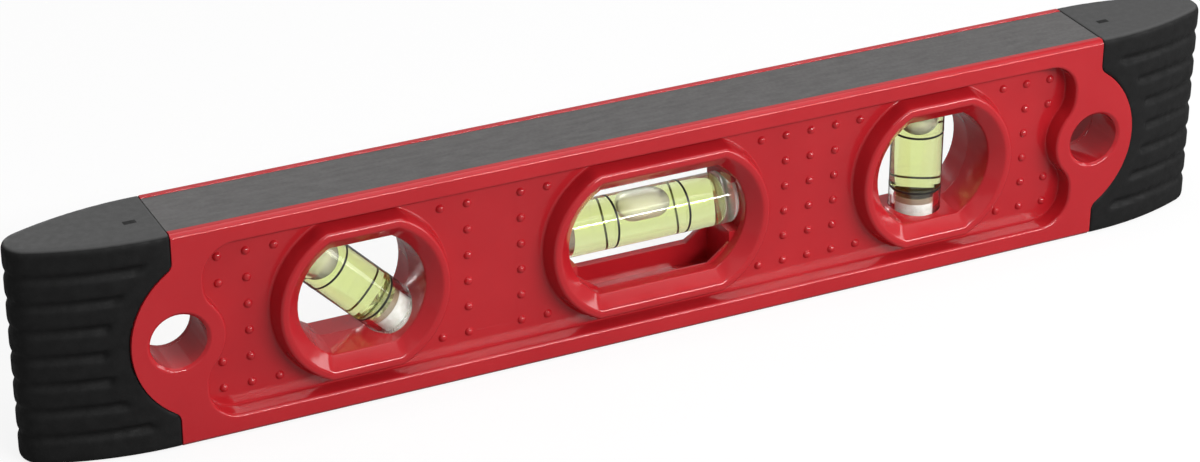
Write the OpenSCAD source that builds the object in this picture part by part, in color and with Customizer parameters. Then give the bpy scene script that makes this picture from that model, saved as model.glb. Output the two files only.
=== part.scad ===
// Pocket spirit level: two moulded shell halves hold three vials between them, a magnetic
// strip is let into the top edge, and a ribbed rubber cap is pushed over each end.
// X runs along the level, the front face looks towards -Y, Z is up, and the bottom edge is at Z = 0.

/* [Overall] */
// Length over both end caps
overall_l = 231; // [215:1:280]
// Height from the bottom edge to the top edge
body_h = 40; // [38:0.5:46]
// Thickness over the two faces
body_t = 16.8; // [15.6:0.2:20]
// Chamfer along the long outer edges of the faces
edge_c = 0.7; // [0.3:0.1:1]

/* [Recessed panel] */
// Height of the plain rail above and below the panel
rail_h = 3.7; // [3:0.1:4.5]
// Depth of the panel below the face
recess_d = 3.6; // [2.4:0.1:3.8]
// Width of the plain face between the cap seam and the panel
recess_in = 5.3; // [4:0.1:8]
// Radius of the panel's rounded lobes
lobe_r = 5.7; // [4:0.1:6.5]
// Radius of the plain face left round each hanging hole
boss_r = 8.3; // [7.5:0.1:9]

/* [Grip dots] */
// Distance between dots, both ways
dot_pitch = 5; // [4.5:0.1:6]
// Distance of the first column of dots from mid-length
dot_first = 20.9; // [20:0.1:24]
// Radius of a dot where it meets the panel
dot_r = 0.8; // [0.6:0.05:1]
// Height of a dot
dot_h = 0.6; // [0.3:0.05:0.7]
// Clear space between a dot's centre and a ring or hole boss
dot_clear = 1.6; // [1.2:0.1:2]

/* [Blank badge] */
// Width of the bare badge field on the front panel
badge_w = 7.8; // [6:0.1:8.4]
// Height of the bare badge field
badge_h = 25; // [18:0.5:26]
// Depth of the badge field below the panel
badge_d = 0.15; // [0.1:0.05:0.4]
// Distance of the badge field's centre from mid-length
badge_in = 30.8; // [28:0.1:34]

/* [Windows] */
// Distance from the level's tip to the centre of each end window
window_in = 59.5; // [54:0.5:64]
// Radius of the window's throat at mid-thickness
throat_r = 11.05; // [10:0.05:12]
// Half the height of the throat between its flats
throat_flat = 9.6; // [8.5:0.05:9.8]
// Half the extra length of the middle window
level_stretch = 5.7; // [4:0.1:8]
// Width of the ring round a throat, out to the edge of its crest
ring_w = 4.4; // [4:0.1:4.6]
// Width of the flat crest of a ring
crest_w = 1.35; // [0.8:0.05:1.6]
// Depth of the bevel inside the crest
bevel_d = 2.2; // [1.6:0.1:2.6]
// Draft angle of the throats
throat_draft = 5.5; // [2:0.5:7]
// Draft angle of the rings' outer walls
ring_draft = 12; // [6:1:14]

/* [Vial bay in the middle window] */
// Length of the bay and of its mouth
bay_l = 30; // [28:0.5:31]
// Thickness of the bay, across the level
bay_t = 8; // [7:0.1:8.6]
// Height of the bay's floor above the bottom edge
bay_floor = 6; // [5:0.1:8]
// Thickness of the lip between the throat and the bay
bay_lip = 0.5; // [0.3:0.05:0.8]
// Ledge between the throat's flats and the bay's mouth
bay_ledge = 0.1; // [0.05:0.05:0.3]
// Length of the cut corners of the bay's mouth
bay_cut = 4.2; // [3.5:0.1:5]
// Slope of the cut corners
bay_cut_slope = 38; // [35:1:42]

/* [Hanging holes] */
// Distance from the level's tip to the hole's axis
hole_in = 26.2; // [25:0.1:28]
// Radius of the hole
hole_r = 5; // [3.5:0.1:5.2]
// Chamfer round the hole's mouth
hole_c = 0.5; // [0.3:0.1:0.8]
// Length of the hole in the back half, before it opens into its pocket
hole_land = 0.8; // [0.6:0.1:2]
// Wall left between a pocket and the end cap
pocket_wall = 1; // [0.8:0.1:2]
// Height of a pocket
pocket_h = 19; // [14:0.5:20]
// Distance from the hole's axis to the pocket's end towards mid-length
pocket_back = 10.4; // [8:0.1:11]
// Radius of a pocket's corners
pocket_corner = 2; // [1:0.1:3]
// Width of the plain face between the cap seam and the back panel
back_recess_in = 2.3; // [2:0.1:5]

/* [Joint between the shells] */
// Radius of the locating pegs
peg_r = 1.5; // [1:0.1:1.8]
// Height of the locating pegs
peg_h = 2.6; // [1.5:0.1:2.8]
// Distance of the pegs from mid-height
peg_z = 9; // [7:0.5:11]
// Distance of the inner pegs from mid-length
peg_in = 33; // [30:0.5:36]
// Clearance round and past a peg
peg_gap = 0.1; // [0.05:0.05:0.2]
// Plain plastic between a hole's pocket and the peg beside it
peg_web = 0.9; // [0.6:0.1:1.5]

/* [Magnetic strip] */
// Width of the lip left on each side of the strip
lip_w = 1.85; // [1.4:0.05:2.4]
// Thickness of the strip
strip_t = 2; // [1.2:0.1:2.2]
// How far the strip's face lies below the lips
strip_sink = 0.1; // [0:0.05:0.3]

/* [End caps] */
// Length of a cap, from its seam to the tip
cap_l = 25.7; // [25:0.1:28]
// Straight length of a cap before it tapers
cap_straight = 0.8; // [0.4:0.1:4]
// Radius of the tapering sides
taper_r = 59; // [50:0.5:70]
// Radius of the rounded red end that the cap wraps
bulge_r = 16.1; // [15:0.1:17]
// How far the rounded end stands out past the seam
bulge_out = 7.8; // [6.5:0.1:8.5]
// Fillet where the rounded end leaves the seam
bulge_fillet = 2; // [1:0.1:2.5]
// Rounding of a cap's long edges
cap_edge = 1; // [0.8:0.1:1.6]
// Number of grooves round a cap
groove_n = 7; // [5:1:7]
// Distance between grooves
groove_pitch = 4.95; // [4.5:0.05:5]
// Depth of a groove where it starts
groove_d = 0.8; // [0.4:0.05:0.9]
// Depth of a groove at the tip
groove_tip_d = 0.35; // [0.2:0.05:0.6]
// Width of a groove at its mouth
groove_w = 2.2; // [1.4:0.1:2.4]
// Width of a groove at its bottom
groove_floor = 0.5; // [0.3:0.1:0.8]
// Distance from the rounded red end to where the grooves start
groove_gap = 3.3; // [2.5:0.1:4]
// Length over which a groove fades in
groove_fade = 0.7; // [0.5:0.1:2]
// Rubber thickness over the tongue, front and back
cap_wall = 2.8; // [2.4:0.1:3]
// Rubber thickness over the tongue, top and bottom
cap_roof = 3.4; // [3:0.1:4]
// Length of the tongue inside a cap
tongue_l = 13; // [11:0.5:14]

/* [Vials] */
// Outer radius of a vial
vial_r = 4.8; // [4.2:0.05:4.9]
// Wall of a vial
vial_wall = 1.1; // [0.8:0.05:1.4]
// Length of the level vial, in the middle window
level_l = 36.3; // [35.5:0.1:37]
// Distance from mid-length to the level vial's middle, towards the left
level_off = 0.95; // [0.6:0.05:1.2]
// Height of the level vial's axis above mid-height
level_lift = 0.3; // [0:0.05:0.4]
// Length of the plumb vial and of the angle vial
short_l = 24.6; // [23:0.2:26]
// Angle of the angle vial
vial_angle = 45; // [30:5:60]
// Thickness of a short vial's closed end
closed_t = 1.8; // [1.2:0.1:2.4]
// Thickness of the level vial's closed end
level_closed_t = 2.3; // [2:0.1:4.4]
// Chamfer round a vial's closed end
tube_c = 0.7; // [0.4:0.1:1]
// Thickness of a plug's flange
flange_t = 1.2; // [0.8:0.1:1.6]
// Length of a plug's spigot in a short vial
spigot_l = 4; // [3:0.1:4.4]
// Length of a plug's spigot in the level vial
level_spigot_l = 2.7; // [2:0.1:4.4]
// How much wider a vial's bore is at its middle than at its ends
barrel = 0.15; // [0.05:0.05:0.25]
// Clearance between a vial and its seat
seat_gap = 0.1; // [0.05:0.05:0.15]
// Half the distance between the level vial's rings
level_ring_x = 7; // [6:0.1:8]
// Half the distance between a short vial's rings
short_ring_x = 5.6; // [5:0.1:6]
// Width of a ring
ring_line_w = 0.4; // [0.3:0.05:0.6]
// Thickness of a ring
ring_line_t = 0.12; // [0.1:0.01:0.2]
// How far a ring stands proud of its vial
ring_line_out = 0.03; // [0.01:0.01:0.04]

/* [Bubbles] */
// Length of the level vial's bubble
level_bubble_l = 10.4; // [8:0.2:12]
// Radius of the level vial's bubble
level_bubble_r = 2.1; // [1.6:0.1:2.6]
// Length of a short vial's bubble
short_bubble_l = 5.6; // [5:0.2:6]
// Radius of a short vial's bubble
short_bubble_r = 2.7; // [2:0.1:2.9]

/* [Hidden] */
$fn = 72;

red = "#c4303a";
rubber_black = "#262626";
strip_grey = "#6a6868";
clear_plastic = "#dfe8e6";
yellow_green = "#cfe06a";
line_black = "#101010";

// How far a cutting shape runs past the face that it opens
over = 1;
half_l = overall_l / 2;
half_t = body_t / 2;
mid_z = body_h / 2;
seam_x = half_l - cap_l;
window_x = half_l - window_in;
hole_x = half_l - hole_in;
recess_x = seam_x - recess_in;
recess_z = mid_z - rail_h;
panel_t = half_t - recess_d;
bulge_x = seam_x + bulge_out - bulge_r;

ring_r = throat_r + ring_w;
ring_flat = throat_flat + ring_w;
ring_spread = recess_d * tan(ring_draft);
mouth_spread = (half_t - bevel_d) * tan(throat_draft);
mouth_r = throat_r + mouth_spread;
mouth_flat = throat_flat + mouth_spread;
lip_y = bay_t / 2 + bay_lip;

vial_bore = vial_r - vial_wall;
seat_r = vial_r + seat_gap;
tongue_t = half_t - cap_wall;
tongue_z = mid_z - cap_roof;
tongue_x = seam_x + tongue_l;
end_peg_x = bulge_x + bulge_r - pocket_wall + peg_web + peg_r;

// Points of an arc about a centre, from one angle to another
function arc(centre, radius, from, to, steps) =
    [for (i = [0:steps]) let (a = from + (to - from) * i / steps)
        centre + radius * [cos(a), sin(a)]];

// Windows, rings and bevels, with the face at Y = 0 and the depth along +Y

// A wedge along X whose half-height changes from near to deep
module flats(near, deep, depth, half_length) {
    rotate([90, 0, 90]) translate([0, 0, -half_length]) linear_extrude(2 * half_length)
        polygon([[0, -near], [depth, -deep], [depth, deep], [0, near]]);
}

// A drafted round opening with a flat top and bottom, lengthened by stretch at each side
module flatted_cone(r_near, r_deep, f_near, f_deep, depth, stretch) {
    reach = max(r_near, r_deep) + stretch + over;
    intersection() {
        union() {
            for (x = stretch > 0 ? [-stretch, stretch] : [0])
                translate([x, 0, 0]) rotate([-90, 0, 0]) cylinder(h = depth, r1 = r_near, r2 = r_deep);
            if (stretch > 0)
                flats(r_near, r_deep, depth, stretch);
        }
        flats(f_near, f_deep, depth, reach);
    }
}

// The ring that stands on the panel, with its foot sunk a little into it
module window_ring(stretch) {
    foot = recess_d + over / 2;
    grow = foot * tan(ring_draft);
    translate([0, -half_t, 0])
        flatted_cone(ring_r, ring_r + grow, ring_flat, ring_flat + grow, foot, stretch);
}

// The bevel inside a ring's crest
module window_bevel(stretch) {
    slope_r = (ring_r - crest_w - mouth_r) / bevel_d;
    slope_f = (ring_flat - crest_w - mouth_flat) / bevel_d;
    translate([0, -half_t - over, 0])
        flatted_cone(ring_r - crest_w + slope_r * over, mouth_r,
                     ring_flat - crest_w + slope_f * over, mouth_flat, bevel_d + over, stretch);
}

// The throat of an end window, narrowest at mid-thickness
module window_throat() {
    spread = (half_t + over) * tan(throat_draft);
    past = over * tan(throat_draft);
    translate([0, -half_t - over, 0])
        flatted_cone(throat_r + spread, throat_r - past, throat_flat + spread, throat_flat - past,
                     half_t + 2 * over, 0);
}

// The middle window's throat ends at a lip, whose mouth with cut corners opens into the bay
module level_throat() {
    out_spread = (half_t + over) * tan(throat_draft);
    lip_spread = lip_y * tan(throat_draft);
    translate([0, -half_t - over, 0])
        flatted_cone(throat_r + out_spread, throat_r + lip_spread,
                     throat_flat + out_spread, throat_flat + lip_spread,
                     half_t + over - lip_y, level_stretch);
}

module bay_mouth() {
    end = bay_l / 2;
    top = throat_flat + lip_y * tan(throat_draft) - bay_ledge;
    cut_x = end - bay_cut;
    cut_z = top - bay_cut * tan(bay_cut_slope);
    rotate([90, 0, 0]) translate([0, 0, bay_t / 2 - over]) linear_extrude(bay_lip + 2 * over)
        polygon([[end, cut_z], [cut_x, top], [-cut_x, top], [-end, cut_z],
                 [-end, -cut_z], [-cut_x, -top], [cut_x, -top], [end, -cut_z]]);
}

module level_bay() {
    translate([-bay_l / 2, -bay_t / 2, bay_floor - mid_z])
        cube([bay_l, bay_t, 2 * (mid_z - bay_floor)]);
}

// Outlines of the face, in X and Z

// Full-thickness red outline: straight seams with a rounded end standing out past them
module face_outline() {
    offset(r = -bulge_fillet) offset(delta = bulge_fillet) {
        translate([-seam_x, 0]) square([2 * seam_x, body_h]);
        for (s = [-1, 1])
            translate([s * bulge_x, mid_z]) circle(r = bulge_r);
    }
}

// Front panel outline: lobes above and below the round boss of each hanging hole
module recess_outline() {
    offset(r = lobe_r) offset(delta = -lobe_r) difference() {
        translate([-recess_x, mid_z - recess_z]) square([2 * recess_x, 2 * recess_z]);
        for (s = [-1, 1])
            translate([s * hole_x, mid_z]) circle(r = boss_r);
    }
}

// Back panel outline: a plain rounded rectangle, without bosses
module back_recess_outline() {
    half = seam_x - back_recess_in;
    offset(r = lobe_r) offset(delta = -lobe_r)
        translate([-half, mid_z - recess_z]) square([2 * half, 2 * recess_z]);
}

// Outline of the right pocket, which follows the rounded red end
module pocket_outline() {
    inner_x = hole_x - pocket_back;
    offset(r = pocket_corner) offset(delta = -pocket_corner) intersection() {
        translate([bulge_x, mid_z]) circle(r = bulge_r - pocket_wall);
        translate([inner_x, mid_z - pocket_h / 2]) square([half_l - inner_x, pocket_h]);
    }
}

// A dot is left out where a ring, a boss or the panel's end is in the way
function dot_fits(x, z) =
    let (end_ring = norm([abs(x) - window_x, z]), level_ring = norm([abs(x) - level_stretch, z]),
         boss = norm([abs(x) - hole_x, z]), ring_foot = ring_r + ring_spread)
    end_ring > ring_foot + dot_clear * 0.8 && level_ring > ring_foot + dot_clear * 0.8
    && boss > boss_r + dot_clear * 0.8 && abs(x) < recess_x - dot_clear;

module dots(skip_badge) {
    ball = (dot_r * dot_r + dot_h * dot_h) / (2 * dot_h);
    columns = floor((recess_x - dot_first) / dot_pitch);
    rows = floor((recess_z - dot_clear) / dot_pitch - 0.5);
    for (s = [-1, 1], i = [0:columns], j = [-rows - 1:rows]) {
        x = s * (dot_first + i * dot_pitch);
        z = (j + 0.5) * dot_pitch;
        on_badge = skip_badge && abs(x + badge_in) < badge_w / 2 + dot_r;
        if (dot_fits(x, z) && !on_badge)
            translate([x, -panel_t - dot_h + ball, mid_z + z]) sphere(r = ball, $fn = 24);
    }
}

// The long outer edges of a face are chamfered
module half_section() {
    rotate([90, 0, 90]) translate([0, 0, -half_l]) linear_extrude(overall_l)
        polygon([[0, 0], [0, body_h], [-half_t + edge_c, body_h], [-half_t, body_h - edge_c],
                 [-half_t, edge_c], [-half_t + edge_c, 0]]);
}

module tongues() {
    for (s = [-1, 1])
        translate([s > 0 ? seam_x - tongue_l : -tongue_x, -tongue_t, mid_z - tongue_z])
            cube([2 * tongue_l, tongue_t, 2 * tongue_z]);
}

module at_windows() {
    for (s = [-1, 1])
        translate([s * window_x, 0, mid_z]) children();
}

// Hanging holes, straight from the joint to their chamfered mouths
module hang_holes() {
    mouth_r = hole_r + hole_c + over;
    for (s = [-1, 1])
        translate([s * hole_x, 0, mid_z]) rotate([90, 0, 0]) {
            translate([0, 0, -over]) cylinder(h = half_t + 2 * over, r = hole_r);
            translate([0, 0, half_t - hole_c]) cylinder(h = hole_c + over, r1 = hole_r, r2 = mouth_r);
        }
}

// In the back half the holes soon open into pockets
module pocket_hole() {
    translate([hole_x, 0, mid_z]) rotate([90, 0, 0]) translate([0, 0, -over])
        cylinder(h = hole_land + 2 * over, r = hole_r);
    translate([0, -hole_land, 0]) rotate([90, 0, 0]) linear_extrude(half_t) pocket_outline();
}

module pocket_holes() {
    pocket_hole();
    mirror([1, 0, 0]) pocket_hole();
}

// Seats that hold the ends of the vials: the front half takes the level vial in a square channel
module vial_seats(front) {
    level_seat = level_l + 2 * seat_gap;
    place_level()
        if (front)
            translate([-seat_r, -seat_r, -level_seat / 2]) cube([2 * seat_r, seat_r + over, level_seat]);
        else
            cylinder(h = level_seat, r = seat_r, center = true);
    place_plumb() cylinder(h = short_l + 2 * seat_gap, r = seat_r, center = true);
    place_angle() cylinder(h = short_l + 2 * seat_gap, r = seat_r, center = true);
}

module strip_channel() {
    translate([-half_l, -half_t + lip_w, body_h - strip_sink - strip_t])
        cube([overall_l, body_t - 2 * lip_w, strip_t + strip_sink + over]);
}

module peg_places() {
    for (sx = [-1, 1]) {
        for (sz = [-1, 1])
            translate([sx * peg_in, 0, mid_z + sz * peg_z]) children();
        translate([sx * end_peg_x, 0, mid_z]) children();
    }
}

module panel_outline(front) {
    if (front)
        recess_outline();
    else
        back_recess_outline();
}

// One moulded half, between its face at -Y and the joint at mid-thickness
module shell_half(front) {
    difference() {
        union() {
            difference() {
                union() {
                    intersection() {
                        rotate([90, 0, 0]) linear_extrude(half_t) face_outline();
                        half_section();
                    }
                    tongues();
                }
                translate([0, -panel_t, 0]) rotate([90, 0, 0]) linear_extrude(recess_d + over)
                    panel_outline(front);
            }
            at_windows() window_ring(0);
            translate([0, 0, mid_z]) window_ring(level_stretch);
            dots(front);
        }
        at_windows() {
            window_bevel(0);
            window_throat();
        }
        translate([0, 0, mid_z]) {
            window_bevel(level_stretch);
            level_throat();
            bay_mouth();
            level_bay();
        }
        if (front)
            hang_holes();
        else
            pocket_holes();
        vial_seats(front);
        strip_channel();
    }
}

module front_shell() {
    color(red) difference() {
        shell_half(true);
        translate([-badge_in - badge_w / 2, -panel_t - over, mid_z - badge_h / 2])
            cube([badge_w, over + badge_d, badge_h]);
        peg_places() rotate([90, 0, 0]) translate([0, 0, -over])
            cylinder(h = peg_h + peg_gap + over, r = peg_r + peg_gap);
    }
}

module back_shell() {
    color(red) union() {
        mirror([0, 1, 0]) shell_half(false);
        peg_places() rotate([90, 0, 0]) translate([0, 0, -over]) cylinder(h = peg_h + over, r = peg_r);
    }
}

module magnetic_strip() {
    color(strip_grey)
        translate([-seam_x, -half_t + lip_w, body_h - strip_sink - strip_t])
            cube([2 * seam_x, body_t - 2 * lip_w, strip_t]);
}

// End cap: a skin over plan stations and height levels, which the grooves sink into

cap_run = cap_l - cap_straight;
taper_x = seam_x + cap_straight;
taper_y = taper_r - half_t;
nose_r = (pow(taper_r, 2) - pow(cap_run, 2) - pow(taper_y, 2)) / (2 * (taper_r - cap_run));
nose_x = half_l - nose_r;
taper_end = atan2(taper_y, nose_x - taper_x);
end_run = taper_r * cos(taper_end);
// The stations are close together where the grooves start
fine_run = 12.8;
taper_runs = concat([for (i = [0:16]) fine_run * i / 16],
                    [for (i = [1:4]) fine_run + (end_run - fine_run) * i / 4]);

// Stations round one side of the cap: [x, y, outward x, outward y]
function arc_stations(centre, radius, from, to, steps) =
    [for (i = [0:steps]) let (a = from + (to - from) * i / steps)
        [centre[0] + radius * cos(a), centre[1] + radius * sin(a), cos(a), sin(a)]];
back_side = concat(
    [[seam_x, half_t, 0, 1]],
    [for (run = taper_runs) let (a = acos(run / taper_r))
        [taper_x + run, -taper_y + taper_r * sin(a), cos(a), sin(a)]],
    [for (p = arc_stations([nose_x, 0], nose_r, taper_end, 0, 4)) if (p[2] > cos(taper_end) + 0.01) p]);
function flipped(list) =
    [for (i = [len(list) - 1:-1:0]) let (p = list[i]) [p[0], -p[1], p[2], -p[3]]];
// The station at the very tip lies on both sides, so it is taken once
cap_stations = concat(back_side, [for (i = [1:len(back_side) - 1]) flipped(back_side)[i]]);

function groove_z(k) = mid_z + (k - (groove_n - 1) / 2) * groove_pitch;
edge_steps = [0, 30, 60, 90];
cap_levels = concat(
    [for (a = edge_steps) cap_edge * (1 - cos(a))],
    [for (k = [0:groove_n - 1], u = [-groove_w, -groove_floor, groove_floor, groove_w])
        groove_z(k) + u / 2],
    [for (i = [len(edge_steps) - 1:-1:0]) body_h - cap_edge * (1 - cos(edge_steps[i]))]);

function ramp(v) = min(1, max(0, v));
// How far the skin is drawn in by the rounded edge at a level
function edge_inset(z) =
    let (d = min(z, body_h - z))
    d >= cap_edge ? 0 : cap_edge - sqrt(max(0, cap_edge * cap_edge - pow(cap_edge - d, 2)));
// How far it is drawn in by a groove, which fades out towards the red end
function groove_inset(x, z) =
    let (off = min([for (k = [0:groove_n - 1]) abs(z - groove_z(k))]),
         across = ramp((groove_w / 2 - off) / (groove_w / 2 - groove_floor / 2)),
         start = bulge_r + groove_gap,
         along = ramp((norm([x - bulge_x, z - mid_z]) - start) / groove_fade),
         start_x = bulge_x + sqrt(max(0, pow(start, 2) - pow(z - mid_z, 2))),
         depth = groove_d + (groove_tip_d - groove_d) * ramp((x - start_x) / (half_l - start_x)))
    depth * across * along;
function skin_point(s, z) =
    let (inset = edge_inset(z) + groove_inset(s[0], z)) [s[0] - s[2] * inset, s[1] - s[3] * inset, z];

module cap_skin() {
    n = len(cap_stations);
    m = len(cap_levels);
    polyhedron(
        points = [for (z = cap_levels, s = cap_stations) skin_point(s, z)],
        faces = concat(
            [for (j = [0:m - 2], i = [0:n - 2], t = [0, 1])
                t == 0 ? [j * n + i, j * n + i + 1, (j + 1) * n + i + 1]
                       : [j * n + i, (j + 1) * n + i + 1, (j + 1) * n + i]],
            [[for (i = [n - 1:-1:0]) i]],
            [[for (i = [0:n - 1]) (m - 1) * n + i]],
            [concat([for (j = [0:m - 1]) j * n], [for (j = [m - 1:-1:0]) j * n + n - 1])]));
}

module end_cap() {
    color(rubber_black) difference() {
        cap_skin();
        rotate([90, 0, 0]) translate([0, 0, -half_t - over]) linear_extrude(body_t + 2 * over)
            face_outline();
        translate([seam_x - over, -tongue_t, mid_z - tongue_z])
            cube([tongue_l + over, 2 * tongue_t, 2 * tongue_z]);
    }
}

module right_end_cap() {
    end_cap();
}

module left_end_cap() {
    mirror([1, 0, 0]) end_cap();
}

// Vials stand along Z about their middle, with the plug at the lower end

// Half of a bore's section, a little fuller at its middle
function bore_outline(low, high) =
    let (mid = (low + high) / 2, half = (high - low) / 2)
    concat([[0, low]],
           [for (i = [-4:4]) [vial_bore - barrel + barrel * (1 - pow(i / 4, 2)), mid + half * i / 4]],
           [[0, high]]);

module bore_shape(low, high) {
    rotate_extrude() polygon(bore_outline(low, high));
}

module vial_tube(length, closed, spigot, ring_at, ring_mid) {
    low = -length / 2 + flange_t;
    high = length / 2 - closed;
    difference() {
        union() {
            translate([0, 0, low]) cylinder(h = length - flange_t - tube_c, r = vial_r);
            translate([0, 0, length / 2 - tube_c]) cylinder(h = tube_c, r1 = vial_r, r2 = vial_r - tube_c);
        }
        bore_shape(low + spigot, high);
        translate([0, 0, low - over]) cylinder(h = spigot + over, r = vial_bore - barrel);
        for (s = [-1, 1])
            translate([0, 0, ring_mid + s * ring_at]) difference() {
                cylinder(h = ring_line_w, r = vial_r + over, center = true);
                cylinder(h = ring_line_w + over, r = vial_r + ring_line_out - ring_line_t, center = true);
            }
    }
}

module vial_plug(length, spigot) {
    translate([0, 0, -length / 2]) {
        cylinder(h = flange_t / 2, r1 = vial_r - flange_t / 2, r2 = vial_r);
        translate([0, 0, flange_t / 2]) cylinder(h = flange_t / 2, r = vial_r);
        cylinder(h = flange_t + spigot, r = vial_bore - barrel);
    }
}

// The bubble's round-ended outline, turned about its own axis
module bubble(length, radius) {
    straight = length / 2 - radius;
    rotate_extrude($fn = 32) polygon(concat(
        [for (p = arc([0, straight], radius, 90, 0, 6)) p],
        [for (p = arc([0, -straight], radius, 0, -90, 6)) p]));
}

module vial_liquid(length, closed, spigot) {
    difference() {
        bore_shape(-length / 2 + flange_t + spigot, length / 2 - closed);
        children();
    }
}

module vial_rings(ring_at, ring_mid) {
    for (s = [-1, 1])
        translate([0, 0, ring_mid + s * ring_at]) difference() {
            cylinder(h = ring_line_w, r = vial_r + ring_line_out, center = true);
            cylinder(h = ring_line_w + over, r = vial_r + ring_line_out - ring_line_t, center = true);
        }
}

module short_bubble() {
    translate([0, 0, short_l / 2 - closed_t - short_bubble_l / 2]) bubble(short_bubble_l, short_bubble_r);
}

module place_level() {
    translate([-level_off, 0, mid_z + level_lift]) rotate([0, 90, 0]) children();
}

module place_plumb() {
    translate([window_x, 0, mid_z]) children();
}

module place_angle() {
    translate([-window_x, 0, mid_z]) rotate([0, -vial_angle, 0]) children();
}

module level_vial_tube() {
    color(clear_plastic, 0.4) place_level()
        vial_tube(level_l, level_closed_t, level_spigot_l, level_ring_x, level_off);
}

module level_vial_plug() {
    color(clear_plastic) place_level() vial_plug(level_l, level_spigot_l);
}

module level_vial_liquid() {
    // The bubble floats against the top of the bore, which lies towards the vial's own -X
    lift = vial_bore - level_bubble_r;
    color(yellow_green) place_level() vial_liquid(level_l, level_closed_t, level_spigot_l)
        translate([-lift, 0, level_off]) bubble(level_bubble_l, level_bubble_r);
}

module level_vial_rings() {
    color(line_black) place_level() vial_rings(level_ring_x, level_off);
}

module plumb_vial_tube() {
    color(clear_plastic, 0.4) place_plumb() vial_tube(short_l, closed_t, spigot_l, short_ring_x, 0);
}

module plumb_vial_plug() {
    color(clear_plastic) place_plumb() vial_plug(short_l, spigot_l);
}

module plumb_vial_liquid() {
    color(yellow_green) place_plumb() vial_liquid(short_l, closed_t, spigot_l) short_bubble();
}

module plumb_vial_rings() {
    color(line_black) place_plumb() vial_rings(short_ring_x, 0);
}

module angle_vial_tube() {
    color(clear_plastic, 0.4) place_angle() vial_tube(short_l, closed_t, spigot_l, short_ring_x, 0);
}

module angle_vial_plug() {
    color(clear_plastic) place_angle() vial_plug(short_l, spigot_l);
}

module angle_vial_liquid() {
    color(yellow_green) place_angle() vial_liquid(short_l, closed_t, spigot_l) short_bubble();
}

module angle_vial_rings() {
    color(line_black) place_angle() vial_rings(short_ring_x, 0);
}

front_shell();
back_shell();
magnetic_strip();
left_end_cap();
right_end_cap();
level_vial_tube();
level_vial_plug();
level_vial_liquid();
level_vial_rings();
plumb_vial_tube();
plumb_vial_plug();
plumb_vial_liquid();
plumb_vial_rings();
angle_vial_tube();
angle_vial_plug();
angle_vial_liquid();
angle_vial_rings();
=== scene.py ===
import bpy
import bmesh
import math
from mathutils import Matrix, Vector
from types import SimpleNamespace


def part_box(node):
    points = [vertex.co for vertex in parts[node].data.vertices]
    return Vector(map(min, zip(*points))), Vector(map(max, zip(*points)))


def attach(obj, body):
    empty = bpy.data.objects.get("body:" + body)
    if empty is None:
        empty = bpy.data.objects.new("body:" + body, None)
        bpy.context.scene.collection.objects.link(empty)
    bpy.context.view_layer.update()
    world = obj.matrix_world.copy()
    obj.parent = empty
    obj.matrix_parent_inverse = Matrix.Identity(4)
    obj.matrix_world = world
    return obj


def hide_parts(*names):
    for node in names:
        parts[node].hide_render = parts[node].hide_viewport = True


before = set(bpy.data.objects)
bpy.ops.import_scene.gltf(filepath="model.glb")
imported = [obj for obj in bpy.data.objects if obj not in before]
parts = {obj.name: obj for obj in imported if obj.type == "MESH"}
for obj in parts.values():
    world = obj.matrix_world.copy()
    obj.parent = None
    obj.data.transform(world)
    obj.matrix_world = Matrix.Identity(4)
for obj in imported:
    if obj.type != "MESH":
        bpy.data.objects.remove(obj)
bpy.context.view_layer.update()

# Moulded shells
# The body is two halves moulded in red gloss plastic and joined at mid-thickness over small pegs. The
# mould leaves fine radii on its rims and windows, and the gloss shows a faint orange peel.

shell_low, shell_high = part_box("front_shell")
HEIGHT = shell_high.z

# How far each step of the moulding lies from the joint between the halves
DEPTHS = {"face": -shell_low.y, "panel": 0.0048, "throat": 0.0062, "joint": 0.0}
CLOSE = 0.00001

# Radii of the edges. The panel's rim and foot are sharper on the back
OUTLINE_RADIUS = 0.00035
RIM_RADIUS = {"front": 0.0006, "back": 0.00025}
FOOT_RADIUS = {"front": 0.0003, "back": 0.0002}
CREST_RADIUS = 0.0006
LIP_RADIUS = 0.00035
RING_FOOT_RADIUS = 0.0004
HOLE_RADIUS = 0.00025
THROAT_RADIUS = 0.00025
JOINT_RADIUS = 0.0001

# Spans that tell one loop of edges from another
SMALL_SPAN = 0.009
LIP_SPAN = 0.015
CREST_SPAN = 0.027
PANEL_SPAN = 0.15

SHELL_EDGE_DEG = 20
SHARP_DEG = 32
FLAT_DEG = 0.6
WELD = 0.000002


def merged_copy(node):
    """A welded copy of a CAD node, with its flat faces made whole."""
    bm = bmesh.new()
    bm.from_mesh(parts[node].data)
    bmesh.ops.remove_doubles(bm, verts=bm.verts, dist=WELD)
    bmesh.ops.dissolve_limit(bm, angle_limit=math.radians(FLAT_DEG), verts=bm.verts, edges=bm.edges)
    return bm


def sharp_edges(bm, degrees):
    """The edges whose two faces meet at more than an angle."""
    limit = math.radians(degrees)
    return [edge for edge in bm.edges if edge.is_manifold and edge.calc_face_angle(0.0) > limit]


def shaded_piece(bm, name, sharp_deg):
    """Makes a bmesh a piece of the level, smooth except across its sharp edges."""
    sharp = set(sharp_edges(bm, sharp_deg))
    for face in bm.faces:
        face.smooth = True
    for edge in bm.edges:
        edge.smooth = edge not in sharp
    mesh = bpy.data.meshes.new(name)
    bm.to_mesh(mesh)
    bm.free()
    piece = bpy.data.objects.new(name, mesh)
    bpy.context.scene.collection.objects.link(piece)
    return piece


def moulded_piece(bm, name, sharp_deg):
    """A shaded piece with all its faces turned outwards."""
    bmesh.ops.recalc_face_normals(bm, faces=bm.faces)
    return shaded_piece(bm, name, sharp_deg)


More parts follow.
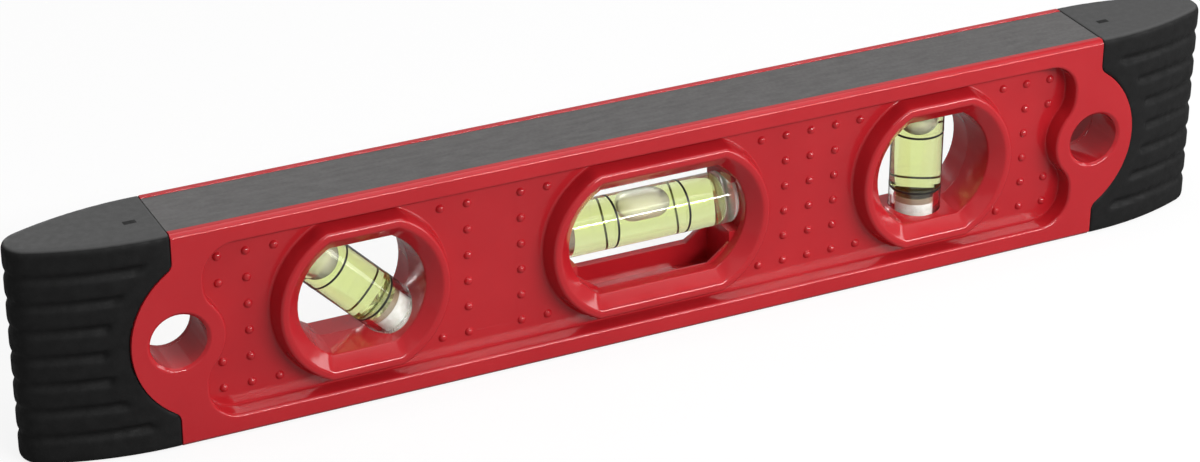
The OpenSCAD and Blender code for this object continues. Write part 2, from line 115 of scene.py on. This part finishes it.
def even_shading(piece):
    """Lets the large faces keep their flat shading up to the rounded edges."""
    weighted = piece.modifiers.new("even shading", "WEIGHTED_NORMAL")
    weighted.keep_sharp = True
    weighted.weight = 100


def round_edges(bm, edges, radius, steps):
    """Rounds edges to a radius, which bevel limits where the faces beside them are narrow."""
    bmesh.ops.bevel(bm, geom=edges, offset=radius, offset_type="OFFSET", segments=steps, profile=0.5,
                    affect="EDGES", material=-1, clamp_overlap=True)


def joined_groups(edges):
    """Sorts edges into groups that share vertices."""
    left, groups = dict.fromkeys(edges), []
    while left:
        reach = [left.popitem()[0]]
        group = []
        while reach:
            edge = reach.pop()
            group.append(edge)
            for vert in edge.verts:
                for other in vert.link_edges:
                    if other in left:
                        del left[other]
                        reach.append(other)
        groups.append(group)
    return groups


def at_depth(edge, depth):
    """Whether an edge lies at a depth. The face takes in the top and the foot of the body."""
    for place in (vert.co for vert in edge.verts):
        on_outline = depth == "face" and not CLOSE < place.z < HEIGHT - CLOSE
        if not on_outline and abs(abs(place.y) - DEPTHS[depth]) >= CLOSE:
            return False
    return True


def edge_radius(group, depth, side):
    """The radius of a loop of edges, told by its depth and spans: none on dots, pegs and the plain field."""
    places = [vert.co for edge in group for vert in edge.verts]
    low_z = min(place.z for place in places)
    span_x = max(place.x for place in places) - min(place.x for place in places)
    span_z = max(place.z for place in places) - low_z
    if depth == "throat":
        return THROAT_RADIUS
    if depth == "joint":
        return JOINT_RADIUS if span_x > SMALL_SPAN else 0
    if depth == "panel":
        if span_x < SMALL_SPAN:
            return 0
        return FOOT_RADIUS[side] if span_x > PANEL_SPAN else RING_FOOT_RADIUS
    if low_z < CLOSE:
        return OUTLINE_RADIUS
    if span_x > PANEL_SPAN:
        return RIM_RADIUS[side]
    if span_z > CREST_SPAN:
        return CREST_RADIUS
    return LIP_RADIUS if span_z > LIP_SPAN else HOLE_RADIUS


def feed(owner, socket, value):
    """Links a socket of a material or the world to another socket, or sets it to a plain value."""
    if isinstance(value, bpy.types.NodeSocket):
        owner.node_tree.links.new(value, socket)
    else:
        socket.default_value = value


def add_node(owner, kind, inputs=None):
    """A new shader node, with its inputs fed by name or number."""
    node = owner.node_tree.nodes.new("ShaderNode" + kind)
    for key, value in (inputs or {}).items():
        feed(owner, node.inputs[key], value)
    return node


def shader_of(material):
    """A material's Principled shader."""
    return material.node_tree.nodes["Principled BSDF"]


def plain_material(name, colour, roughness):
    """A material of one colour and roughness, before its tones and grain."""
    material = bpy.data.materials.new(name)
    material.use_nodes = True
    feed(material, shader_of(material).inputs["Base Color"], (*colour, 1))
    feed(material, shader_of(material).inputs["Roughness"], roughness)
    return material


def object_noise(material, scale, detail=3.0, stretch=(1, 1, 1)):
    """Noise on the piece's own coordinates."""
    where = add_node(material, "TexCoord")
    placed = add_node(material, "Mapping", {"Vector": where.outputs["Object"], "Scale": stretch})
    inputs = {"Vector": placed.outputs["Vector"], "Scale": scale, "Detail": detail}
    return add_node(material, "TexNoise", inputs).outputs[0]


NOISE_LOW = 0.35
NOISE_HIGH = 0.65


def two_tone(material, noise, darker, lighter):
    """Colours a material between two tones of the same stuff."""
    ramp = add_node(material, "ValToRGB", {"Fac": noise})
    for stop, place, colour in zip(ramp.color_ramp.elements, (NOISE_LOW, NOISE_HIGH), (darker, lighter)):
        stop.position = place
        stop.color = (*colour, 1)
    feed(material, shader_of(material).inputs["Base Color"], ramp.outputs["Color"])
    return ramp.outputs["Color"]


def uneven_gloss(material, noise, smoother, rougher):
    """Lets a material's roughness wander between two values."""
    spread = add_node(material, "MapRange", {"Value": noise, "From Min": NOISE_LOW, "From Max": NOISE_HIGH,
                                             "To Min": smoother, "To Max": rougher})
    feed(material, shader_of(material).inputs["Roughness"], spread.outputs[0])


def grain(material, noise, strength, depth):
    """Raises a material's surface by a noise."""
    bump = add_node(material, "Bump", {"Height": noise, "Strength": strength, "Distance": depth})
    feed(material, shader_of(material).inputs["Normal"], bump.outputs["Normal"])


red_plastic = plain_material("red gloss plastic", (0.43, 0.012, 0.018), 0.15)
two_tone(red_plastic, object_noise(red_plastic, 60), (0.415, 0.012, 0.018), (0.45, 0.015, 0.021))
uneven_gloss(red_plastic, object_noise(red_plastic, 220, 5), 0.11, 0.18)
grain(red_plastic, object_noise(red_plastic, 900, 2), 0.07, 0.0001)

# The plain field between the left and middle windows lies all but flush with the panel
FIELD_X = -0.0308
FIELD_REACH = 0.005
FIELD_DEPTH = 0.00015
FIELD_SINK = 0.00001

for side in ("front", "back"):
    bm = merged_copy(side + "_shell")
    if side == "front":
        field_y = FIELD_DEPTH - DEPTHS["panel"]
        for vert in bm.verts:
            if abs(vert.co.y - field_y) < CLOSE and abs(vert.co.x - FIELD_X) < FIELD_REACH:
                vert.co.y = FIELD_SINK - DEPTHS["panel"]
    for depth in DEPTHS:
        edges = [edge for edge in sharp_edges(bm, SHELL_EDGE_DEG) if at_depth(edge, depth)]
        for group in joined_groups(edges):
            radius = edge_radius(group, depth, side)
            if radius:
                # The larger radii take a step more
                round_edges(bm, group, radius, 3 if radius > OUTLINE_RADIUS else 2)
    shell = moulded_piece(bm, side + "_shell_moulding", SHARP_DEG)
    even_shading(shell)
    shell.data.materials.append(red_plastic)
    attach(shell, "root")
    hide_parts(side + "_shell")

# Magnetic strip
# A bar of dark grey bonded magnet, pressed into the channel along the top edge. Its face is matt,
# with faint lengthwise marks from the extrusion and fine pale specks.

STRIP_RADIUS = 0.00015
STRIP_EDGE_DEG = 30

bonded_magnet = plain_material("bonded magnet", (0.105, 0.101, 0.10), 0.5)
shader_of(bonded_magnet).inputs["Specular IOR Level"].default_value = 0.3
specks = object_noise(bonded_magnet, 900, 6, (0.25, 1, 1))
two_tone(bonded_magnet, specks, (0.092, 0.089, 0.088), (0.118, 0.114, 0.113))
uneven_gloss(bonded_magnet, object_noise(bonded_magnet, 1500, 4), 0.42, 0.58)
grain(bonded_magnet, object_noise(bonded_magnet, 4000, 3, (0.2, 1, 1)), 0.2, 0.0001)

bm = merged_copy("magnetic_strip")
round_edges(bm, sharp_edges(bm, STRIP_EDGE_DEG), STRIP_RADIUS, 2)
strip = moulded_piece(bm, "magnetic_strip_bar", SHARP_DEG)
even_shading(strip)
strip.data.materials.append(bonded_magnet)
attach(strip, "root")
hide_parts("magnetic_strip")

# End caps
# Black rubber sleeves pushed over the ends, moulded with soft ribs across the grip. The rubber is
# matt with a fine grain, some pale dust and a painted sheen on its upward faces, and each cap has a
# small mould mark drawn as painted shade.

SKIN_VOXEL = 0.00035
NO_SHARP_DEG = 180
# The pale tone of the upward faces is partly dust and partly painted sheen from the light above
DUST_AND_TOP_SHEEN = (0.075, 0.075, 0.075, 1)
TOP_SHEEN_START = 0.65
TOP_SHEEN_FULL = 0.95
# The colour of the mould mark is painted shade standing in for the pressed mark's relief
MARK_SHADE = (0.015, 0.015, 0.015, 1)
MARK_X = 0.0942
MARK_Y = -0.001
MARK_HALF_LENGTH = 0.0011
MARK_HALF_WIDTH = 0.0006


def worked_out(owner, operation, *values):
    """The result of a sum on sockets and plain values."""
    node = add_node(owner, "Math", dict(enumerate(values)))
    node.operation = operation
    return node.outputs[0]


rubber = plain_material("black rubber", (0.010, 0.010, 0.010), 0.6)
shader_of(rubber).inputs["Specular IOR Level"].default_value = 0.14
clean = two_tone(rubber, object_noise(rubber, 500, 5), (0.008, 0.008, 0.008), (0.011, 0.011, 0.011))
uneven_gloss(rubber, object_noise(rubber, 700, 4), 0.5, 0.72)
grain(rubber, object_noise(rubber, 3500, 2), 0.3, 0.0001)

# Pale dust and a painted top sheen lie on the upward faces only: their colour is made lighter, standing in
# for the light that falls on them from above
lie = add_node(rubber, "NewGeometry")
upward = add_node(rubber, "SeparateXYZ", {0: lie.outputs["Normal"]})
dust_and_sheen_share = add_node(rubber, "MapRange", {"Value": upward.outputs["Z"], "From Min": TOP_SHEEN_START,
                                      "From Max": TOP_SHEEN_FULL})
dusted_and_sheened = add_node(rubber, "MixRGB", {"Fac": dust_and_sheen_share.outputs[0], "Color1": clean, "Color2": DUST_AND_TOP_SHEEN})

# The pressed mould mark is drawn as a small rectangle of painted shade near the inner end of each cap, on
# its top and its foot
where = add_node(rubber, "TexCoord")
place = add_node(rubber, "SeparateXYZ", {0: where.outputs["Object"]})
from_middle = worked_out(rubber, "ABSOLUTE", place.outputs["X"])
along_mark = worked_out(rubber, "COMPARE", from_middle, MARK_X, MARK_HALF_LENGTH)
across_mark = worked_out(rubber, "COMPARE", place.outputs["Y"], MARK_Y, MARK_HALF_WIDTH)
on_mark = worked_out(rubber, "MULTIPLY", along_mark, across_mark)
shaded_mark = add_node(rubber, "MixRGB", {"Fac": on_mark, "Color1": dusted_and_sheened.outputs["Color"], "Color2": MARK_SHADE})
feed(rubber, shader_of(rubber).inputs["Base Color"], shaded_mark.outputs["Color"])

for side in ("left", "right"):
    cap = moulded_piece(merged_copy(side + "_end_cap"), side + "_end_cap_rubber", NO_SHARP_DEG)
    even_skin = cap.modifiers.new("even skin", "REMESH")
    even_skin.mode = "VOXEL"
    even_skin.voxel_size = SKIN_VOXEL
    even_skin.use_smooth_shade = True
    soft_edges = cap.modifiers.new("soft edges", "SMOOTH")
    soft_edges.factor = 0.5
    soft_edges.iterations = 2
    cap.data.materials.append(rubber)
    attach(cap, "root")
    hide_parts(side + "_end_cap")

# Vials
# Three clear vials sit in seats between the shells, one behind each window: the level vial lies
# along the body, the plumb vial stands upright, and the angle vial leans at 45 degrees.

VIAL_RADIUS = 0.0048
BORE_RADIUS = 0.0037
BARREL = 0.00015
NECK_RADIUS = BORE_RADIUS - BARREL
FLANGE = 0.0012
WINDOW_X = 0.056
WINDOW_Z = 0.020
LEVEL_LENGTH = 0.0363
SHORT_LENGTH = 0.0246
LEVEL_SHIFT = 0.00095
LEVEL_LIFT = 0.0003
LEVEL_BUBBLE_SHIFT = 0.0006
TURN_STEPS = 96
FINE_WELD = 1e-7
BORE_STEPS = 4
VIAL_SHARP_DEG = 40


def vial_place(x, z, tilt):
    """Where a vial goes, with its closed end tilted from upright by some degrees about Y."""
    return Matrix.Translation((x, 0, z)) @ Matrix.Rotation(math.radians(tilt), 4, "Y")


level_vial = SimpleNamespace(
    name="level", place=vial_place(-LEVEL_SHIFT, WINDOW_Z + LEVEL_LIFT, 90), length=LEVEL_LENGTH,
    end_wall=0.0023, spigot=0.0027, corner=0.0012, dome=0.0012, window_middle=LEVEL_SHIFT, ring_reach=0.007,
    bubble_length=0.0104, bubble_radius=0.0021, bubble_width=1.25, bubble_stretch=1.6)
# The bubble lies against the top of the bore
level_vial.bubble_lift = BORE_RADIUS - level_vial.bubble_radius
level_vial.bubble_middle = LEVEL_SHIFT - LEVEL_BUBBLE_SHIFT

vials = [level_vial]
for name, x, tilt in (("plumb", WINDOW_X, 0), ("angle", -WINDOW_X, -45)):
    short_vial = SimpleNamespace(
        name=name, place=vial_place(x, WINDOW_Z, tilt), length=SHORT_LENGTH,
        end_wall=0.0018, spigot=0.004, corner=0.0009, dome=0.0005, window_middle=0, ring_reach=0.0056,
        bubble_length=0.0056, bubble_radius=0.0027, bubble_width=1.0, bubble_stretch=1.0, bubble_lift=0)
    # The bubble stands at the closed end
    bore_end = SHORT_LENGTH / 2 - short_vial.end_wall
    short_vial.bubble_middle = bore_end - short_vial.bubble_length / 2
    vials.append(short_vial)


def turned(outline):
    """A shape turned about Z from its outline of radius and height pairs, its faces outwards."""
    bm = bmesh.new()
    corners = [bm.verts.new((radius, 0, height)) for radius, height in outline]
    edges = [bm.edges.new(pair) for pair in zip(corners, corners[1:])]
    bmesh.ops.spin(bm, geom=corners + edges, cent=(0, 0, 0), axis=(0, 0, 1), angle=2 * math.pi,
                   steps=TURN_STEPS, use_merge=True)
    bmesh.ops.remove_doubles(bm, verts=bm.verts, dist=FINE_WELD)
    bmesh.ops.recalc_face_normals(bm, faces=bm.faces)
    return bm


def join_to(bm, other):
    """Adds another bmesh to one, and frees the other."""
    mesh = bpy.data.meshes.new("joined")
    other.to_mesh(mesh)
    other.free()
    bm.from_mesh(mesh)
    bpy.data.meshes.remove(mesh)


def arc_points(centre_r, centre_z, radius, start, end, steps):
    """Points on an arc between two angles in degrees, where 0 is outwards and 90 is up."""
    angles = [math.radians(start + (end - start) * step / steps) for step in range(steps + 1)]
    return [(centre_r + radius * math.cos(angle), centre_z + radius * math.sin(angle)) for angle in angles]


def bore_side(low, high, grow):
    """The bore's wall from its low end to its high end, fullest at its middle."""
    middle, half = (low + high) / 2, (high - low) / 2
    shares = [step / BORE_STEPS for step in range(-BORE_STEPS, BORE_STEPS + 1)]
    return [(NECK_RADIUS + BARREL * (1 - share ** 2) + grow, middle + half * share) for share in shares]


def vial_piece(bm, vial, ending, materials, node_ending):
    """Puts a piece of a vial in its place, with its materials and what it stands for."""
    bmesh.ops.transform(bm, verts=bm.verts, matrix=vial.place)
    piece = shaded_piece(bm, vial.name + "_vial_" + ending, VIAL_SHARP_DEG)
    for material in materials:
        piece.data.materials.append(material)
    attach(piece, "root")
    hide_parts(vial.name + "_vial_" + node_ending)


# Clear tubes
# Each is moulded in clear plastic, with a bore a little fuller at its middle. The closed end is
# frosted, and its inner end is rounded.

TUBE_IOR = 1.44
LAMP_SHARE = 0.85
FROST_DEPTH = 0.0004
CORNER_STEPS = 6
DOME_STEPS = 5


def see_through(material, ior, share):
    """Makes a share of a material clear, with an index of refraction."""
    shader_of(material).inputs["IOR"].default_value = ior
    shader_of(material).inputs["Transmission Weight"].default_value = share


def lets_light_in(material):
    """Lets lamp light pass through a clear material to what lies behind it."""
    rays = add_node(material, "LightPath")
    passing = worked_out(material, "MULTIPLY", rays.outputs["Is Shadow Ray"], LAMP_SHARE)
    open_way = add_node(material, "BsdfTransparent")
    either = add_node(material, "MixShader", {"Fac": passing, 1: shader_of(material).outputs[0],
                                              2: open_way.outputs[0]})
    feed(material, material.node_tree.nodes["Material Output"].inputs["Surface"], either.outputs[0])


clear = plain_material("clear tube", (0.985, 0.99, 0.97), 0.02)
see_through(clear, TUBE_IOR, 1.0)
uneven_gloss(clear, object_noise(clear, 300, 2), 0.01, 0.04)
lets_light_in(clear)

frosted = plain_material("frosted end", (0.96, 0.94, 0.91), 0.12)
see_through(frosted, TUBE_IOR, 0.7)
two_tone(frosted, object_noise(frosted, 500, 3), (0.92, 0.90, 0.87), (0.98, 0.96, 0.94))
lets_light_in(frosted)


def add_tube(vial):
    """The tube: a rounded closed end, and a bore open towards the plug."""
    low, high = -vial.length / 2 + FLANGE, vial.length / 2
    bore_low, bore_high = low + vial.spigot, high - vial.end_wall
    outline = [(0, high)]
    outline += arc_points(VIAL_RADIUS - vial.corner, high - vial.corner, vial.corner, 90, 0, CORNER_STEPS)
    outline += [(VIAL_RADIUS, low), (NECK_RADIUS, low)]
    outline += bore_side(bore_low, bore_high - vial.dome, 0)[1:]
    outline += arc_points(NECK_RADIUS - vial.dome, bore_high - vial.dome, vial.dome, 0, 90, DOME_STEPS)[1:]
    outline += [(0, bore_high)]
    tube = turned(outline)
    for face in tube.faces:
        if face.calc_center_median().z > bore_high - FROST_DEPTH:
            face.material_index = 1
    vial_piece(tube, vial, "clear_tube", (clear, frosted), "tube")


# Spirit and bubbles
# Yellow-green spirit fills the bore, round one bubble. It reaches a little way into the tube's wall,
# so that light passes from one to the other without a gap of air.

SPIRIT_IOR = 1.36
OVERLAP = 0.00003
BUBBLE_STEPS = 10

spirit = plain_material("yellow-green spirit", (0.95, 0.97, 0.80), 0.0)
see_through(spirit, SPIRIT_IOR, 1.0)
two_tone(spirit, object_noise(spirit, 120, 1), (0.94, 0.965, 0.78), (0.96, 0.975, 0.82))
lets_light_in(spirit)
tint = add_node(spirit, "VolumeAbsorption", {"Color": (0.81, 0.88, 0.30, 1), "Density": 150})
feed(spirit, spirit.node_tree.nodes["Material Output"].inputs["Volume"], tint.outputs[0])

# The bubble's pale grey, partly diffuse surface is painted reflection, standing in for the light its wall
# reflects inside the spirit
bubble_painted_reflection = plain_material("bubble painted reflection", (0.77, 0.73, 0.75), 0.03)
see_through(bubble_painted_reflection, SPIRIT_IOR, 0.62)
two_tone(bubble_painted_reflection, object_noise(bubble_painted_reflection, 200, 2), (0.74, 0.70, 0.72), (0.80, 0.76, 0.78))
lets_light_in(bubble_painted_reflection)


def add_spirit(vial):
    """The spirit, with its bubble as a capsule of inward faces, which may be widened across the vial."""
    low, high = -vial.length / 2 + FLANGE + vial.spigot, vial.length / 2 - vial.end_wall
    centre_r, centre_z = NECK_RADIUS - vial.dome, high - vial.dome
    outline = [(0, low)] + bore_side(low, centre_z, OVERLAP)
    outline += arc_points(centre_r, centre_z, vial.dome + OVERLAP, 0, 90, DOME_STEPS)[1:]
    outline += [(0, high + OVERLAP)]
    liquid = turned(outline)

    arc = arc_points(0, 0, vial.bubble_radius, 90, 0, BUBBLE_STEPS)
    top = [(r, z * vial.bubble_stretch) for r, z in arc]
    straight = vial.bubble_length / 2 - vial.bubble_radius * vial.bubble_stretch
    bubble = turned([(r, straight + z) for r, z in top] + [(r, -straight - z) for r, z in reversed(top)])
    bmesh.ops.reverse_faces(bubble, faces=bubble.faces)
    bmesh.ops.scale(bubble, verts=bubble.verts, vec=(1, vial.bubble_width, 1))
    bmesh.ops.translate(bubble, verts=bubble.verts, vec=(-vial.bubble_lift, 0, vial.bubble_middle))
    for face in bubble.faces:
        face.material_index = 1
    join_to(liquid, bubble)
    vial_piece(liquid, vial, "spirit", (spirit, bubble_painted_reflection), "liquid")


# End plugs
# A pale plug with a flange closes the open end of each tube. An amber band at the end of its
# spigot is painted reflection of the red walls seen through the clear spigot.

PLUG_IOR = 1.46
PLUG_CORNER = 0.0003
PLUG_STEPS = 3
REFLECTION_BAND = 0.0012

plug_plastic = plain_material("plug plastic", (0.85, 0.84, 0.80), 0.3)
see_through(plug_plastic, PLUG_IOR, 0.4)
two_tone(plug_plastic, object_noise(plug_plastic, 900, 4), (0.72, 0.71, 0.66), (0.93, 0.92, 0.90))

spigot_reflection = plain_material("amber spigot reflection", (0.62, 0.46, 0.30), 0.2)
see_through(spigot_reflection, PLUG_IOR, 0.8)
two_tone(spigot_reflection, object_noise(spigot_reflection, 300, 3), (0.56, 0.41, 0.26), (0.66, 0.50, 0.33))


def add_plug(vial):
    """The plug: a rounded flange, and a spigot whose last stretch shows an amber band of painted reflection.
    """
    bottom = -vial.length / 2
    seat = bottom + FLANGE
    top = seat + vial.spigot
    outline = [(0, bottom)]
    outline += arc_points(VIAL_RADIUS - PLUG_CORNER, bottom + PLUG_CORNER, PLUG_CORNER, -90, 0, PLUG_STEPS)
    outline += [(VIAL_RADIUS, seat), (NECK_RADIUS, seat)]
    outline += [(NECK_RADIUS, top - REFLECTION_BAND), (NECK_RADIUS, top), (0, top)]
    plug = turned(outline)
    # The last stretch of the spigot takes the amber painted reflection of the red walls
    for face in plug.faces:
        if face.calc_center_median().z > top - REFLECTION_BAND:
            face.material_index = 1
    vial_piece(plug, vial, "end_plug", (plug_plastic, spigot_reflection), "plug")


# Printed rings
# Two thin black rings are printed round each tube. The bubble comes to rest between them when the
# vial lies true.

RING_HALF_WIDTH = 0.0002
RING_SINK = 0.00009
RING_PROUD = 0.00003

ring_ink = plain_material("ring ink", (0.012, 0.012, 0.012), 0.4)
two_tone(ring_ink, object_noise(ring_ink, 2000, 2), (0.010, 0.010, 0.010), (0.016, 0.016, 0.014))


def add_rings(vial):
    """The two rings, one on each side of the window's middle."""
    inner, outer = VIAL_RADIUS - RING_SINK, VIAL_RADIUS + RING_PROUD
    rings = bmesh.new()
    for middle in (vial.window_middle - vial.ring_reach, vial.window_middle + vial.ring_reach):
        low, high = middle - RING_HALF_WIDTH, middle + RING_HALF_WIDTH
        join_to(rings, turned([(inner, low), (outer, low), (outer, high), (inner, high), (inner, low)]))
    vial_piece(rings, vial, "printed_rings", (ring_ink,), "rings")


for vial in vials:
    add_tube(vial)
    add_spirit(vial)
    add_plug(vial)
    add_rings(vial)

# Floor, light and camera
# A plain white floor under soft studio light, seen from the photograph's angle. What the camera sees
# past the level, or through its clear pieces, is white, and reflections show a little of that.

WHITE = (1, 1, 1, 1)
FLOOR_REACH = 3
FLOOR_GLOW = 0.84
FLOOR_SEEN = (0.9, 0.9, 0.9, 1)
FLOOR_UNSEEN = (0.3, 0.3, 0.3, 1)

bm = bmesh.new()
bmesh.ops.create_grid(bm, x_segments=1, y_segments=1, size=FLOOR_REACH)
floor_mesh = bpy.data.meshes.new("floor")
bm.to_mesh(floor_mesh)
bm.free()
floor = bpy.data.objects.new("floor", floor_mesh)
bpy.context.scene.collection.objects.link(floor)

white_floor = plain_material("white floor", (0.9, 0.9, 0.9), 0.9)
path = add_node(white_floor, "LightPath")
seen = worked_out(white_floor, "MAXIMUM", path.outputs["Is Camera Ray"], path.outputs["Is Transmission Ray"])
tone = add_node(white_floor, "MixRGB", {"Fac": seen, "Color1": FLOOR_UNSEEN, "Color2": FLOOR_SEEN})
feed(white_floor, shader_of(white_floor).inputs["Base Color"], tone.outputs["Color"])
glow = add_node(white_floor, "Emission", {"Color": WHITE})
blend = add_node(white_floor, "MixShader", {"Fac": worked_out(white_floor, "MULTIPLY", seen, FLOOR_GLOW),
                                            1: shader_of(white_floor).outputs[0], 2: glow.outputs[0]})
feed(white_floor, white_floor.node_tree.nodes["Material Output"].inputs["Surface"], blend.outputs[0])
floor.data.materials.append(white_floor)

ROOM_LIGHT = 0.25
GLOSSY_WHITE = 0.05

world = bpy.data.worlds.new("studio")
bpy.context.scene.world = world
world.use_nodes = True
room = world.node_tree.nodes["Background"]
room.inputs["Color"].default_value = WHITE
room.inputs["Strength"].default_value = ROOM_LIGHT
backdrop = add_node(world, "Background", {"Color": WHITE, "Strength": 1.0})
path = add_node(world, "LightPath")
mirrored = worked_out(world, "MULTIPLY", path.outputs["Is Glossy Ray"], GLOSSY_WHITE)
not_direct = worked_out(world, "MAXIMUM", path.outputs["Is Transmission Ray"], mirrored)
seen = worked_out(world, "MAXIMUM", path.outputs["Is Camera Ray"], not_direct)
blend = add_node(world, "MixShader", {"Fac": seen, 1: room.outputs[0], 2: backdrop.outputs[0]})
feed(world, world.node_tree.nodes["World Output"].inputs["Surface"], blend.outputs[0])


def soft_lamp(name, place, aim, size, power):
    """A rectangular lamp, aimed at a point."""
    lamp_data = bpy.data.lights.new(name, "AREA")
    lamp_data.shape = "RECTANGLE"
    lamp_data.size, lamp_data.size_y = size
    lamp_data.energy = power
    lamp = bpy.data.objects.new(name, lamp_data)
    lamp.location = place
    lamp.rotation_euler = (Vector(aim) - Vector(place)).to_track_quat("-Z", "Y").to_euler()
    bpy.context.scene.collection.objects.link(lamp)


# The bright softbox and the streak lamp lie where the rounded long edges and the level vial mirror
# them. The rear softbox lies outside the directions that the walls of the holes mirror
soft_lamp("top softbox", (0.0, -0.1, 0.75), (0, 0, 0.02), (0.9, 0.5), 2.8)
soft_lamp("front softbox", (-0.25, -0.75, 0.35), (-0.25, 0, 0.02), (0.6, 0.4), 0.25)
soft_lamp("bright softbox", (0.33, -0.40, 0.62), (0.33, 0, 0.02), (0.6, 0.12), 0.25)
soft_lamp("streak lamp", (0.28, -0.557, 0.350), (0.28, 0, 0.02), (0.6, 0.055), 4.3)
soft_lamp("side softbox", (0.7, -0.35, 0.25), (0, 0, 0.02), (0.3, 0.3), 1.3)
soft_lamp("rear softbox", (-0.12, 0.95, 0.19), (0, 0, 0.02), (0.4, 0.24), 2.0)
soft_lamp("back sheet", (0.35, 0.75, 0.48), (0, 0, 0.04), (1.4, 0.4), 0.5)

# The camera's place was fitted to the long edges, windows, holes and dots of the level
PHOTO_WIDTH = 1200
FOCAL_PIXELS = 3310.7
SENSOR = 36
CAMERA_PLACE = (-0.23377, -0.46600, 0.28831)
CAMERA_RIGHT = Vector((0.90087, -0.43408, 0.00263))
CAMERA_UP = Vector((0.19857, 0.41747, 0.88673))
CAMERA_AHEAD = Vector((0.38601, 0.79830, -0.46229))

camera_data = bpy.data.cameras.new("photo camera")
camera_data.sensor_fit = "HORIZONTAL"
camera_data.sensor_width = SENSOR
camera_data.lens = FOCAL_PIXELS / PHOTO_WIDTH * SENSOR
camera_data.shift_y = 0.0012
camera_data.clip_start = 0.01
camera = bpy.data.objects.new("photo camera", camera_data)
camera_matrix = Matrix((CAMERA_RIGHT, CAMERA_UP, -CAMERA_AHEAD)).transposed().to_4x4()
camera_matrix.translation = Vector(CAMERA_PLACE)
camera.matrix_world = camera_matrix
bpy.context.scene.collection.objects.link(camera)
bpy.context.scene.camera = camera
bpy.context.scene.view_settings.view_transform = "Standard"
